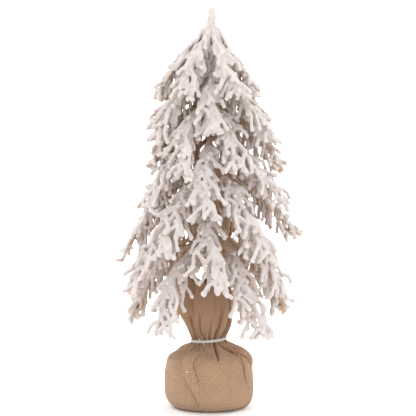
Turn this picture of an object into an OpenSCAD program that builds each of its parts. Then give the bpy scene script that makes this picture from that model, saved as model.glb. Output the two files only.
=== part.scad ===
// Artificial tabletop tree: flocked drooping sprays wired to a thin trunk,
// set in a cement-filled pot that is wrapped in one gathered square of burlap.
// Millimetres, +Z up, origin at the centre of the resting face.
// The sprays point along the polar direction of their azimuth: 0 is +X, 90 is +Y.

/* [Base] */
// Widest outside diameter of the burlap-wrapped base
base_d = 103; // [100:1:106]
// Outside diameter of the gathered neck under the tie
neck_d = 39; // [38:0.5:42]
// Height of the tie round the neck
tie_z = 78; // [77:0.5:80]
// Height of the free top edge of the burlap above the tie
ruff_top_z = 150; // [144:1:154]
// Thickness of the burlap where it lies in one layer
cloth_t = 1.4; // [1.2:0.1:1.6]
// Diameter of the tie cord
tie_d = 1.9; // [1.6:0.1:2.2]

/* [Pot and weight] */
// Outside diameter of the plastic pot at its rim
pot_d = 92; // [88:1:93]
// Height of the pot
pot_h = 57; // [54:1:58]
// Wall thickness of the pot
pot_wall = 1.4; // [1.2:0.1:2]

/* [Trunk] */
// Diameter of the steel rod
rod_d = 4; // [3.6:0.2:4.4]
// Height of the top of the rod
rod_top_z = 433; // [432:0.5:434]
// Height of the tip of the cut wire that ends the tree
tip_z = 457; // [455:0.5:460]

/* [Sprays] */
// Height of the roots of the top tier
top_root_z = 427.5; // [426:0.5:429]
// Distance from one tier's roots to the next tier's
tier_gap = 37.6; // [37:0.2:38]
// Flocked radius of a spray's main stem at its root end
stem_r = 2.9; // [2.6:0.1:3.1]
// Flocked radius of a side twig
twig_r = 2.25; // [2:0.05:2.4]
// Radius of the bare wire at a spray's root
wire_r = 0.9; // [0.8:0.05:1]
// Radius of the wire's bent root leg, which is the spray's pivot
leg_r = 1.5; // [1.4:0.05:1.6]
// Length of the root leg
leg_len = 3.8; // [3.4:0.1:4]
// Gap between a root leg and its groove in the tape band
leg_gap = 0.3; // [0.25:0.05:0.35]

/* [Hidden] */
$fn = 32;
flock_white = [0.90, 0.87, 0.85];
burlap_tan = [0.72, 0.56, 0.41];
paper_brown = [0.55, 0.40, 0.27];
n_twigs = 7;            // side twigs on a spray
half_sector = 15;       // each spray keeps to this many degrees either side of its azimuth
band_h = 8;             // height of a tape band
band_t = 2.6;           // how far a tape band stands out from the trunk
neck_r = 7.4;           // radius of the trunk where the cloth is gathered round it

// One row per tier: first azimuth, stem length, angle below level at the root and
// at the end, and the trunk radius there. Every second tier is turned 30 degrees,
// so that a spray hangs between the two above it.
TIER = [[ 0,  83, 47, 62, 3.4],
        [30,  96, 38, 66, 3.4],
        [ 0, 106, 33, 66, 4.2],
        [30, 122, 30, 68, 4.2],
        [ 0, 135, 27, 66, 5.0],
        [30, 141, 27, 70, 5.0],
        [ 0, 142, 28, 77, 5.0]];

// Per spray, a to f: extra stem length, extra angle at the root, extra angle at the
// end, and how far the end of the stem drifts to the side.
EXTRA = [[[ -2,  5,  -4,  0], [ -2,  0,   2,  4], [ -4, -2,  -2, -4], [  4, -3,   2,  0], [  2,  2,   2, -4], [  5,  0,   0,  3]],
         [[ -6, -5, -12, -3], [ -5,  0,   3,  4], [-12, -4, -10,  4], [  8,  0,   0, -4], [ -4,  2,   2,  5], [ 13, -4,  -2,  3]],
         [[ -1, -3,  -8,  5], [ -4,  1,   4, -5], [  2,  0,   0,  5], [-11,  2,   3, -5], [  4, -2,   2,  6], [ -5,  0,   4, -6]],
         [[ -4,  0,  -4,  5], [  4,  0,   2, -5], [-10,  0,   3,  5], [-14,  0,   0, -5], [  1, -2,   4, -6], [ -8, -6,  -5,  4]],
         [[-13, -1, -12,  4], [  2,  0,   3, -6], [ -5,  0,   4,  6], [ -3,  2,   2, -4], [ -3,  0,   4, -8], [  4, -2,   2,  8]],
         [[-10,  0,  -2,  6], [  3,  0,   0, -6], [ -2,  0,   4,  6], [ -2,  0,  -2, -6], [-12,  0,   6,  7], [ -5,  0,   5, -5]],
         [[-20, -2,  -6,  6], [  4,  0,   2, -6], [ -4,  0,   3,  8], [ -9,  0,  -4, -8], [ -3,  0,   0,-17], [  2,  0,   1, 17]]];

function rnd(i) = let(v = sin(i * 78.233 + 12.9) * 4375.85) v - floor(v);
function seed(k, j, i) = 1 + k * 131 + j * 29 + i * 7.3;
function clampv(v, m) = max(-m, min(m, v));

function trunk_rad(k) = TIER[k][4];
function leg_radius(k) = trunk_rad(k) + band_t + 0.2;
function root_z(k) = top_root_z - k * tier_gap;
function azim(k, j) = TIER[k][0] + 60 * j;
function len(k, j) = TIER[k][1] + EXTRA[k][j][0];
function th0(k, j) = TIER[k][2] + EXTRA[k][j][1];
function th1(k, j) = TIER[k][3] + EXTRA[k][j][2];
function bend(k, j) = (th1(k, j) - th0(k, j)) / len(k, j);
function ang(k, j, a) = th0(k, j) + bend(k, j) * a;
function radial(k, j, a) = leg_radius(k)
    + (sin(ang(k, j, a)) - sin(th0(k, j))) / (bend(k, j) * PI / 180);
function height(k, j, a) = root_z(k)
    + (cos(ang(k, j, a)) - cos(th0(k, j))) / (bend(k, j) * PI / 180);
// Half the width a spray may take at distance a along its stem and n outward from it.
function room(k, j, a, n = 0) = max(0, (radial(k, j, a) + n * sin(ang(k, j, a))) * tan(half_sector) - 3.1);
// Sideways wander of the stem.
function sway(k, j, a) = clampv(EXTRA[k][j][3] * pow(a / len(k, j), 1.4)
    + 1.6 * sin(a * 3.3 + 360 * rnd(seed(k, j, 3))), room(k, j, a) * 0.8);
// A point a along the stem, t to its side and n outward from it.
function at(k, j, a, t, n) =
    let(rr = radial(k, j, a) + n * sin(ang(k, j, a)),
        zz = height(k, j, a) + n * cos(ang(k, j, a)),
        az = azim(k, j))
    [rr * cos(az) - t * sin(az), rr * sin(az) + t * cos(az), zz];
function stem(k, j, a) = at(k, j, a, sway(k, j, a), 0);

// A straight piece of twig that ends in a rounded lump; what follows starts at the lump's centre.
module limb(v, r1, r2, r_lump) {
    l = norm(v);
    b = acos(v.z / l);
    c = atan2(v.y, v.x);
    rotate([0, b, c]) {
        cylinder(h = l, r1 = r1, r2 = r2);
        translate([0, 0, l]) {
            sphere(r = r_lump);
            rotate([0, -b, 0]) rotate([0, 0, -c]) children();
        }
    }
}

// One side twig: it leaves the stem at a0, turns back along it, and ends in a lump.
// Every third twig is an inner one, which hangs below the stem; two in three carry a short fork.
module twig(k, j, i) {
    L = len(k, j);
    s1 = seed(k, j, 10 + i);
    side = (i % 2 == 0 ? 1 : -1);
    inner = (i % 3 == 2);
    a0 = L * (0.17 + 0.72 * i / n_twigs) + 3 * rnd(s1);
    tl = (30 + 13 * rnd(s1 + 1)) * (1 - 0.25 * i / n_twigs) * (L / 125 + 0.15);
    a1 = a0 + tl * 0.42;
    a2 = a0 + tl * (0.90 + 0.06 * rnd(s1 + 2));
    t0 = sway(k, j, a0);
    wide = inner ? 0.35 : 1;
    n1 = inner ? -0.22 * tl : 1.6 * rnd(s1 + 5);
    n2 = inner ? -0.34 * tl : -1.5 + 3.5 * rnd(s1 + 6);
    n3 = n1 + (inner ? -3.5 : 3.8);
    t1 = clampv(t0 + side * tl * 0.30 * wide * (0.8 + 0.4 * rnd(s1 + 3)), room(k, j, a1, n1));
    t2 = clampv(t0 + side * tl * 0.42 * wide * (0.7 + 0.6 * rnd(s1 + 4)), room(k, j, a2, n2));
    p0 = stem(k, j, a0);
    p1 = at(k, j, a1, t1, n1);
    p2 = at(k, j, a2, t2, n2);
    forked = i % 3 != 1;
    f = side * (inner ? 1 : -1);
    a3 = a1 + tl * 0.34;
    t3 = clampv(t1 + f * tl * 0.26, room(k, j, a3, n3));
    p3 = at(k, j, a3, t3, n3);
    translate(p0) limb(p1 - p0, twig_r + 0.1, twig_r, twig_r + 0.4) {
        limb(p2 - p1, twig_r - 0.1, twig_r, twig_r + 0.3);
        if (forked) limb(p3 - p1, twig_r - 0.3, twig_r - 0.2, twig_r + 0.1);
    }
}

// A whole spray: bent root leg, bare wire, flocked stem and its side twigs.
module spray(k, j) {
    L = len(k, j);
    az = azim(k, j);
    p = [for (f = [0.045 + 2.5 / L, 0.27, 0.5, 0.75, 1]) stem(k, j, f * L)];
    root = at(k, j, 0, 0, 0);
    r = stem_r;
    color(flock_white) union() {
        translate(root) {
            rotate([0, 0, az]) rotate([90, 0, 0]) cylinder(h = leg_len, r = leg_r, center = true);
            limb(p[0] - root, wire_r, wire_r, r - 0.4)
                limb(p[1] - p[0], r - 0.6, r - 0.1, r + 0.25)
                    limb(p[2] - p[1], r - 0.1, r - 0.25, r + 0.1)
                        limb(p[3] - p[2], r - 0.25, r - 0.4, r)
                            limb(p[4] - p[3], r - 0.4, r - 0.5, r);
        }
        for (i = [0:n_twigs - 1]) twig(k, j, i);
    }
}

// Floral tape wound round the trunk over the roots of one tier, with a groove for each leg.
module tape_band(k) {
    color([0.60, 0.47, 0.33]) difference() {
        translate([0, 0, root_z(k) - band_h / 2])
            cylinder(h = band_h, r = trunk_rad(k) + band_t, $fn = 64);
        translate([0, 0, root_z(k) - band_h])
            cylinder(h = 2 * band_h, r = trunk_rad(k), $fn = 64);
        for (j = [0:5])
            translate([leg_radius(k) * cos(azim(k, j)), leg_radius(k) * sin(azim(k, j)), root_z(k)])
                rotate([0, 0, azim(k, j)]) rotate([90, 0, 0])
                    cylinder(h = leg_len + 2 * leg_gap, r = leg_r + leg_gap, center = true);
    }
}

// Points of an arc in the half-profile, from angle a to angle b.
function arc(cx, cz, r, a, b, n) =
    [for (i = [0:n]) [cx + r * cos(a + (b - a) * i / n), cz + r * sin(a + (b - a) * i / n)]];

// Outside of the burlap: flat foot, full sides, sloping shoulder and neck.
function wrap_outer() = let(R = base_d / 2, N = neck_d / 2) concat(
    [[0, 0]],
    arc(R - 15, 15, 15, -90, 0, 6),
    [[R, 38], [R - 0.6, 49]],
    arc(R - 12.6, 52, 12, 0, 62, 5),
    [[31, 68.2], [N + 3.5, 73], [N, tie_z - 2.2], [N, tie_z + 2.2]]);

// The one cloth: it lies in a single layer round the pot and in the free ruff, and its
// gathers fill the neck from the trunk out to the tie.
module burlap_wrap() {
    g = cloth_t;
    R = base_d / 2;
    N = neck_d / 2;
    ruff = [[N + 2.4, tie_z + 7], [26, 93], [29, 108], [29.6, 124], [27.5, 140], [25, ruff_top_z]];
    inside = concat([for (i = [5:-1:0]) ruff[i] - [g, 0]],
                    [[13, tie_z + 5], [neck_r, tie_z + 4], [neck_r, tie_z - 4], [13, tie_z - 5.5], [N + 1, 69.8], [30, 66.9]],
                    arc(R - 14, 52, 12, 62, 0, 5),
                    [[R - g, 38]], arc(R - 15, 15, 13.6, 0, -90, 6), [[0, g]]);
    color(burlap_tan) rotate_extrude($fn = 96) polygon(concat(wrap_outer(), ruff, inside));
}

// Two turns of cord, one over the other, pulled tight into the neck.
module tie_cord() {
    rr = neck_d / 2 + tie_d / 2;
    color([0.90, 0.89, 0.88]) {
        for (s = [0, 1]) translate([0, 0, tie_z - 0.5 * tie_d + s * tie_d - 0.02])
            rotate_extrude($fn = 96) translate([rr, 0]) circle(d = tie_d - 0.04, $fn = 24);
    }
}

// The knot on the front left of the tie, with its two short tails standing up and hanging down.
module tie_knot() {
    color([0.90, 0.89, 0.88]) rotate([0, 0, 250])
        translate([neck_d / 2 + tie_d + 1.75, 0, tie_z]) rotate([65, 0, 0]) {
            sphere(r = 1.7);
            translate([0, 0, -5.8]) cylinder(h = 11.6, r = tie_d * 0.35);
        }
}

pot_z = cloth_t + 0.1;
pot_foot_r = pot_d / 2 - 7;
module plastic_pot() {
    R = pot_d / 2;
    w = pot_wall;
    color([0.30, 0.22, 0.17]) translate([0, 0, pot_z]) rotate_extrude($fn = 96)
        polygon([[0, 0], [pot_foot_r - 8, 0], [pot_foot_r - 2, 1.6], [pot_foot_r + 2, 6], [R - 2.2, pot_h - 3], [R, pot_h - 3], [R, pot_h],
                 [R - 2.2 - w, pot_h], [R - 2.2 - w, pot_h - 3], [pot_foot_r + 2 - w, 6 + w / 2], [pot_foot_r - 2 - w, 1.6 + w], [pot_foot_r - 8 - w, w], [0, w]]);
}
module cement_fill() {
    R = pot_d / 2;
    w = pot_wall;
    color([0.62, 0.61, 0.58]) difference() {
        translate([0, 0, pot_z]) rotate_extrude($fn = 96)
            polygon([[0, w], [pot_foot_r - 8 - w, w], [pot_foot_r - 2 - w, 1.6 + w], [pot_foot_r + 2 - w, 6 + w / 2], [R - 2.2 - w, pot_h - 3],
                     [R - 2.6 - w, pot_h - 2], [20, pot_h - 1], [0, pot_h - 1]]);
        translate([0, 0, pot_z + 9]) cylinder(h = pot_h, r = rod_d / 2, $fn = 48);
    }
}

module trunk_rod() {
    color([0.62, 0.62, 0.64]) translate([0, 0, pot_z + 9])
        cylinder(h = rod_top_z - pot_z - 9, r = rod_d / 2, $fn = 48);
}
// Brown paper wound over the rod and the wires, thinner towards the top.
module trunk_paper_wrap() {
    z0 = pot_z + pot_h - 1;
    z1 = root_z(4) + 20;
    z2 = root_z(2) + 20;
    z3 = rod_top_z;
    color(paper_brown) rotate_extrude($fn = 64)
        polygon([[rod_d / 2, z0], [8, z0], [neck_r, tie_z - 5], [neck_r, tie_z + 5], [trunk_rad(5), z0 + 60], [trunk_rad(5), z1],
                 [trunk_rad(3), z1 + 3], [trunk_rad(3), z2], [trunk_rad(1), z2 + 3], [trunk_rad(1), z3], [rod_d / 2, z3]]);
}

// Flocked top of the tree. It leans a little to +X, and the ends of its moulded needles
// stand out round its tip.
module leader_tip() {
    z0 = rod_top_z;
    color(flock_white) difference() {
        union() {
            translate([1.0, 0, z0]) cylinder(h = 3.2, r1 = 6.7, r2 = 6.3, $fn = 48);
            translate([1.0, 0, z0 + 1.5]) limb([1.3, 0, 6.4], 5.9, 5.0, 4.95)
                limb([1.4, 0, 7.6], 4.9, 3.9, 4.1)
                    limb([0.2, 0, 3.0], 3.8, 3.3, 3.5);
            for (m = [0:4]) {
                a = 72 * m + 10;
                translate([3.8, 0, z0 + 17]) limb([4.5 * cos(a), 4.5 * sin(a), 1.9], 1.4, 0.9, 1.05);
            }
        }
        tip_wire();
    }
}
// The cut end of the wire, bent over at the very top.
module tip_wire() {
    translate([3.4, 0, rod_top_z + 6])
        limb([1.8, 0, tip_z - rod_top_z - 9.2], 0.75, 0.75, 0.8)
            limb([-1.7, 0, 2.6], 0.75, 0.75, 0.8);
}
module leader_wire() {
    color([0.45, 0.45, 0.47]) tip_wire();
}

burlap_wrap();
tie_cord();
tie_knot();
plastic_pot();
cement_fill();
trunk_rod();
trunk_paper_wrap();
leader_tip();
leader_wire();
tape_band(0);  // tape_band_1
tape_band(1);  // tape_band_2
tape_band(2);  // tape_band_3
tape_band(3);  // tape_band_4
tape_band(4);  // tape_band_5
tape_band(5);  // tape_band_6
tape_band(6);  // tape_band_7
spray(0, 0);  // spray_1a
spray(0, 1);  // spray_1b
spray(0, 2);  // spray_1c
spray(0, 3);  // spray_1d
spray(0, 4);  // spray_1e
spray(0, 5);  // spray_1f
spray(1, 0);  // spray_2a
spray(1, 1);  // spray_2b
spray(1, 2);  // spray_2c
spray(1, 3);  // spray_2d
spray(1, 4);  // spray_2e
spray(1, 5);  // spray_2f
spray(2, 0);  // spray_3a
spray(2, 1);  // spray_3b
spray(2, 2);  // spray_3c
spray(2, 3);  // spray_3d
spray(2, 4);  // spray_3e
spray(2, 5);  // spray_3f
spray(3, 0);  // spray_4a
spray(3, 1);  // spray_4b
spray(3, 2);  // spray_4c
spray(3, 3);  // spray_4d
spray(3, 4);  // spray_4e
spray(3, 5);  // spray_4f
spray(4, 0);  // spray_5a
spray(4, 1);  // spray_5b
spray(4, 2);  // spray_5c
spray(4, 3);  // spray_5d
spray(4, 4);  // spray_5e
spray(4, 5);  // spray_5f
spray(5, 0);  // spray_6a
spray(5, 1);  // spray_6b
spray(5, 2);  // spray_6c
spray(5, 3);  // spray_6d
spray(5, 4);  // spray_6e
spray(5, 5);  // spray_6f
spray(6, 0);  // spray_7a
spray(6, 1);  // spray_7b
spray(6, 2);  // spray_7c
spray(6, 3);  // spray_7d
spray(6, 4);  // spray_7e
spray(6, 5);  // spray_7f
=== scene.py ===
import bpy
import math
import random
import numpy as np
from mathutils import Vector, Matrix, noise


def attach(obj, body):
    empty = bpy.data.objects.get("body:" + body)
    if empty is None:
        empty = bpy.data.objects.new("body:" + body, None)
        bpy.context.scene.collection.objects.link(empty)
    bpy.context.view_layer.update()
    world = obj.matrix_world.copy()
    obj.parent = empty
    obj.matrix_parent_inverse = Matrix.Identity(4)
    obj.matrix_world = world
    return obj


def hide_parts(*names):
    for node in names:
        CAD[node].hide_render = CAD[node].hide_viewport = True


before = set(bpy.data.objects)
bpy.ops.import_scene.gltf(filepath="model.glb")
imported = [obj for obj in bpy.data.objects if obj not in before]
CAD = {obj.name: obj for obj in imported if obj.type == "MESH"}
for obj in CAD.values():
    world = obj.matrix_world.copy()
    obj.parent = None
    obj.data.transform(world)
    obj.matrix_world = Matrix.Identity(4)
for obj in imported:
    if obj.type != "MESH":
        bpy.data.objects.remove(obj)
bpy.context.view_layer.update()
MM = 0.001

# ---------------------------------------------------------------------------
# The rule that the sprays follow. Millimetres; the same rule as the solids'.
# ---------------------------------------------------------------------------
TOP_ROOT_Z, TIER_GAP, STEM_R, TWIG_R, BAND_T, HALF_SECTOR, N_TWIGS = 427.5, 37.6, 2.9, 2.25, 2.6, 15.0, 7
TIER = [[0, 83, 47, 62, 3.4], [30, 96, 38, 66, 3.4], [0, 106, 33, 66, 4.2], [30, 122, 30, 68, 4.2],
        [0, 135, 27, 66, 5.0], [30, 141, 27, 70, 5.0], [0, 142, 28, 77, 5.0]]
EXTRA = [[[-2, 5, -4, 0], [-2, 0, 2, 4], [-4, -2, -2, -4], [4, -3, 2, 0], [2, 2, 2, -4], [5, 0, 0, 3]],
         [[-6, -5, -12, -3], [-5, 0, 3, 4], [-12, -4, -10, 4], [8, 0, 0, -4], [-4, 2, 2, 5], [13, -4, -2, 3]],
         [[-1, -3, -8, 5], [-4, 1, 4, -5], [2, 0, 0, 5], [-11, 2, 3, -5], [4, -2, 2, 6], [-5, 0, 4, -6]],
         [[-4, 0, -4, 5], [4, 0, 2, -5], [-10, 0, 3, 5], [-14, 0, 0, -5], [1, -2, 4, -6], [-8, -6, -5, 4]],
         [[-13, -1, -12, 4], [2, 0, 3, -6], [-5, 0, 4, 6], [-3, 2, 2, -4], [-3, 0, 4, -8], [4, -2, 2, 8]],
         [[-10, 0, -2, 6], [3, 0, 0, -6], [-2, 0, 4, 6], [-2, 0, -2, -6], [-12, 0, 6, 7], [-5, 0, 5, -5]],
         [[-20, -2, -6, 6], [4, 0, 2, -6], [-4, 0, 3, 8], [-9, 0, -4, -8], [-3, 0, 0, -17], [2, 0, 1, 17]]]


def sind(a):
    return math.sin(math.radians(a))


def cosd(a):
    return math.cos(math.radians(a))


def rnd(i):
    v = sind(i * 78.233 + 12.9) * 4375.85
    return v - math.floor(v)


def seed(k, j, i):
    return 1 + k * 131 + j * 29 + i * 7.3


def clampv(v, m):
    return max(-m, min(m, v))


def leg_radius(k):
    return TIER[k][4] + BAND_T + 0.2


def root_z(k):
    return TOP_ROOT_Z - k * TIER_GAP


def azim(k, j):
    return TIER[k][0] + 60 * j


def length(k, j):
    return TIER[k][1] + EXTRA[k][j][0]


def th0(k, j):
    return TIER[k][2] + EXTRA[k][j][1]


def th1(k, j):
    return TIER[k][3] + EXTRA[k][j][2]


def bend(k, j):
    return (th1(k, j) - th0(k, j)) / length(k, j)


def ang(k, j, a):
    return th0(k, j) + bend(k, j) * a


def radial(k, j, a):
    return leg_radius(k) + (sind(ang(k, j, a)) - sind(th0(k, j))) / (bend(k, j) * math.pi / 180)


def height(k, j, a):
    return root_z(k) + (cosd(ang(k, j, a)) - cosd(th0(k, j))) / (bend(k, j) * math.pi / 180)


def room(k, j, a, n=0.0):
    return max(0.0, (radial(k, j, a) + n * sind(ang(k, j, a))) * math.tan(math.radians(HALF_SECTOR)) - 3.1)


def sway(k, j, a):
    return clampv(EXTRA[k][j][3] * (max(a, 0) / length(k, j)) ** 1.4
                  + 1.6 * sind(a * 3.3 + 360 * rnd(seed(k, j, 3))), room(k, j, a) * 0.8)


def at(k, j, a, t, n):
    rr = radial(k, j, a) + n * sind(ang(k, j, a))
    zz = height(k, j, a) + n * cosd(ang(k, j, a))
    az = azim(k, j)
    return np.array((rr * cosd(az) - t * sind(az), rr * sind(az) + t * cosd(az), zz))


def stem(k, j, a):
    return at(k, j, a, sway(k, j, a), 0)


# ---------------------------------------------------------------------------
# Small helpers
# ---------------------------------------------------------------------------
def new_object(name, verts, faces, smooth=True):
    me = bpy.data.meshes.new(name)
    me.from_pydata([tuple(v) for v in verts], [], [tuple(f) for f in faces])
    me.update()
    if smooth:
        me.polygons.foreach_set("use_smooth", [True] * len(me.polygons))
    ob = bpy.data.objects.new(name, me)
    bpy.context.scene.collection.objects.link(ob)
    return ob


def coords(me):
    co = np.empty(len(me.vertices) * 3, np.float32)
    me.vertices.foreach_get("co", co)
    return co.reshape(-1, 3).astype(np.float64)


def normals(me):
    no = np.empty(len(me.vertices) * 3, np.float32)
    me.vertices.foreach_get("normal", no)
    return no.reshape(-1, 3).astype(np.float64)


def set_coords(me, co):
    me.vertices.foreach_set("co", np.ascontiguousarray(co, np.float32).ravel())
    me.update()


def hash3(ix, iy, iz, s):
    h = (ix * 374761393 + iy * 668265263 + iz * 2147483647 + s * 1274126177) & 0xFFFFFFFF
    h = ((h ^ (h >> 13)) * 1274126177) & 0xFFFFFFFF
    h = h ^ (h >> 16)
    return (h & 0xFFFF) / 65535.0


def value_noise(p, s=0):
    """Smooth noise from -1 to 1 at each row of p."""
    q = np.floor(p).astype(np.int64)
    f = p - q
    f = f * f * (3 - 2 * f)
    out = np.zeros(len(p))
    for dx in (0, 1):
        for dy in (0, 1):
            for dz in (0, 1):
                w = (f[:, 0] if dx else 1 - f[:, 0]) * (f[:, 1] if dy else 1 - f[:, 1]) * (f[:, 2] if dz else 1 - f[:, 2])
                out += w * hash3(q[:, 0] + dx, q[:, 1] + dy, q[:, 2] + dz, s)
    return out * 2 - 1


def smoothstep(x, a, b):
    t = np.clip((x - a) / (b - a), 0, 1)
    return t * t * (3 - 2 * t)


def spline(points, step):
    """Catmull-Rom through the points; each is (x, y, z, radius)."""
    P = [np.array(p, float) for p in points]
    if len(P) == 2:
        n = max(2, int(np.linalg.norm(P[1][:3] - P[0][:3]) / step) + 1)
        return [P[0] + (P[1] - P[0]) * i / n for i in range(n + 1)]
    P = [2 * P[0] - P[1]] + P + [2 * P[-1] - P[-2]]
    P[0][3], P[-1][3] = P[1][3], P[-2][3]
    out = []
    for i in range(1, len(P) - 2):
        a, b, c, d = P[i - 1:i + 3]
        n = max(2, int(np.linalg.norm(c[:3] - b[:3]) / step) + 1)
        for m in range(n):
            t = m / n
            q = 0.5 * (2 * b + (c - a) * t + (2 * a - 5 * b + 4 * c - d) * t * t + (3 * b - a - 3 * c + d) * t ** 3)
            q[3] = max(0.3, q[3])
            out.append(q)
    out.append(P[-2])
    return out


def tube(verts, faces, path, sides=8, round_ends=True):
    """Adds a closed tube along a path of (x, y, z, radius)."""
    pts = [p[:3] for p in path]
    rad = [p[3] for p in path]
    if round_ends:
        d0 = pts[0] - pts[1]
        d0 = d0 / (np.linalg.norm(d0) + 1e-9)
        d1 = pts[-1] - pts[-2]
        d1 = d1 / (np.linalg.norm(d1) + 1e-9)
        r0, r1 = rad[0], rad[-1]
        pts = [pts[0] + d0 * r0 * 0.95, pts[0] + d0 * r0 * 0.6] + pts + [pts[-1] + d1 * r1 * 0.6, pts[-1] + d1 * r1 * 0.95]
        rad = [r0 * 0.3, r0 * 0.8] + rad + [r1 * 0.8, r1 * 0.3]
    n = len(pts)
    tang = [pts[min(i + 1, n - 1)] - pts[max(i - 1, 0)] for i in range(n)]
    tang = [t / (np.linalg.norm(t) + 1e-9) for t in tang]
    ref = np.array((0.0, 0.0, 1.0)) if abs(tang[0][2]) < 0.9 else np.array((1.0, 0.0, 0.0))
    u = np.cross(tang[0], ref)
    u /= np.linalg.norm(u)
    base = len(verts)
    cs = [(math.cos(2 * math.pi * s / sides), math.sin(2 * math.pi * s / sides)) for s in range(sides)]
    for i in range(n):
        u = u - tang[i] * np.dot(u, tang[i])
        u /= np.linalg.norm(u) + 1e-9
        w = np.cross(tang[i], u)
        for c, s in cs:
            verts.append(pts[i] + (u * c + w * s) * rad[i])
    for i in range(n - 1):
        a, b = base + i * sides, base + (i + 1) * sides
        for s in range(sides):
            e = (s + 1) % sides
            faces.append((a + s, a + e, b + e, b + s))
    faces.append(tuple(base + s for s in reversed(range(sides))))
    faces.append(tuple(base + (n - 1) * sides + s for s in range(sides)))


# ---------------------------------------------------------------------------
# Material helpers
# ---------------------------------------------------------------------------
class Nodes:
    def __init__(self, name):
        self.mat = bpy.data.materials.new(name)
        self.mat.use_nodes = True
        self.t = self.mat.node_tree
        self.t.nodes.clear()
        self.out = self.t.nodes.new("ShaderNodeOutputMaterial")
        self.bsdf = self.t.nodes.new("ShaderNodeBsdfPrincipled")
        self.t.links.new(self.bsdf.outputs["BSDF"], self.out.inputs["Surface"])

    def put(self, socket, value):
        if value is None:
            return
        if isinstance(value, bpy.types.NodeSocket):
            self.t.links.new(value, socket)
        else:
            socket.default_value = value

    def node(self, kind, **kw):
        n = self.t.nodes.new(kind)
        for key, value in kw.items():
            setattr(n, key, value)
        return n

    def math(self, op, a, b=None, c=None, clamp=False):
        n = self.node("ShaderNodeMath", operation=op, use_clamp=clamp)
        for s, v in zip(n.inputs, (a, b, c)):
            self.put(s, v)
        return n.outputs[0]

    def mix(self, fac, a, b):
        n = self.node("ShaderNodeMix", data_type="RGBA")
        self.put(n.inputs[0], fac)
        self.put(n.inputs[6], a)
        self.put(n.inputs[7], b)
        return n.outputs[2]

    def attribute(self, name):
        n = self.node("ShaderNodeAttribute", attribute_name=name)
        return n

    def noise(self, vector, scale, detail=2.0, rough=0.5, out=0, distortion=0.0):
        n = self.node("ShaderNodeTexNoise")
        self.put(n.inputs["Vector"], vector)
        n.inputs["Scale"].default_value = scale
        n.inputs["Detail"].default_value = detail
        n.inputs["Roughness"].default_value = rough
        n.inputs["Distortion"].default_value = distortion
        return n.outputs[out]

    def ramp(self, fac, stops):
        n = self.node("ShaderNodeValToRGB")
        self.put(n.inputs[0], fac)
        el = n.color_ramp.elements
        while len(el) < len(stops):
            el.new(0.5)
        for e, (pos, col) in zip(el, stops):
            e.position = pos
            e.color = col if len(col) == 4 else (*col, 1)
        return n.outputs[0]

    def spread(self, fac, a, b, lo=0.0, hi=1.0):
        n = self.node("ShaderNodeMapRange", clamp=True)
        self.put(n.inputs[0], fac)
        for i, v in zip((1, 2, 3, 4), (a, b, lo, hi)):
            n.inputs[i].default_value = v
        return n.outputs[0]

    def bump(self, height_socket, strength, distance, normal=None):
        n = self.node("ShaderNodeBump")
        n.inputs["Strength"].default_value = strength
        n.inputs["Distance"].default_value = distance
        self.put(n.inputs["Height"], height_socket)
        if normal is not None:
            self.put(n.inputs["Normal"], normal)
        return n.outputs[0]

    def obj(self):
        return self.node("ShaderNodeTexCoord").outputs["Object"]

    def split(self, vector):
        n = self.node("ShaderNodeSeparateXYZ")
        self.put(n.inputs[0], vector)
        return n.outputs

    def join(self, x, y, z):
        n = self.node("ShaderNodeCombineXYZ")
        for s, v in zip(n.inputs, (x, y, z)):
            self.put(s, v)
        return n.outputs[0]

    def finish(self, color=None, rough=None, normal=None, metal=0.0, **const):
        self.put(self.bsdf.inputs["Base Color"], color)
        self.put(self.bsdf.inputs["Roughness"], rough)
        if normal is not None:
            self.put(self.bsdf.inputs["Normal"], normal)
        self.bsdf.inputs["Metallic"].default_value = metal
        for key, value in const.items():
            self.bsdf.inputs[key.replace("_", " ")].default_value = value
        return self.mat


def lin(r, g, b):
    """A colour from the screen's 0 to 255."""
    f = lambda c: ((c / 255 + 0.055) / 1.055) ** 2.4 if c > 10 else c / 255 / 12.92
    return (f(r), f(g), f(b), 1.0)


def flock_material():
    m = Nodes("flock")
    p = m.obj()
    # the flock attribute is partly flock cover and partly painted shade: low on undersides, inward faces and deep
    # inside the tree
    a = m.attribute("flock").outputs["Fac"]
    n1 = m.noise(p, 420.0, 3.0, 0.6)
    n2 = m.noise(p, 60.0, 2.0, 0.5)
    cover = m.math("ADD", a, m.math("MULTIPLY", m.math("SUBTRACT", n1, 0.5), 0.55))
    cover = m.math("ADD", cover, m.math("MULTIPLY", m.math("SUBTRACT", n2, 0.5), 0.25))
    fac = m.spread(cover, 0.25, 0.72)
    # one tan for the unflocked twig and for the painted shade deep inside the tree
    tan_unflocked_and_shade = m.mix(m.noise(p, 300.0, 2.0), lin(186, 152, 120), lin(214, 186, 158))
    white = m.mix(m.spread(n2, 0.35, 0.65), lin(202, 192, 188), lin(211, 203, 200))
    col = m.mix(fac, tan_unflocked_and_shade, white)
    grain = m.noise(p, 1500.0, 3.0, 0.7)
    lump = m.noise(p, 520.0, 2.0, 0.5)
    h = m.math("ADD", m.math("MULTIPLY", grain, 0.45), lump)
    nor = m.bump(h, 0.8, 0.0009)
    return m.finish(col, 0.95, nor, Sheen_Weight=0.2, Sheen_Roughness=0.6, Specular_IOR_Level=0.12, Subsurface_Weight=0.3, Subsurface_Scale=0.004, Subsurface_Radius=(1.0, 0.9, 0.85))


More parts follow.
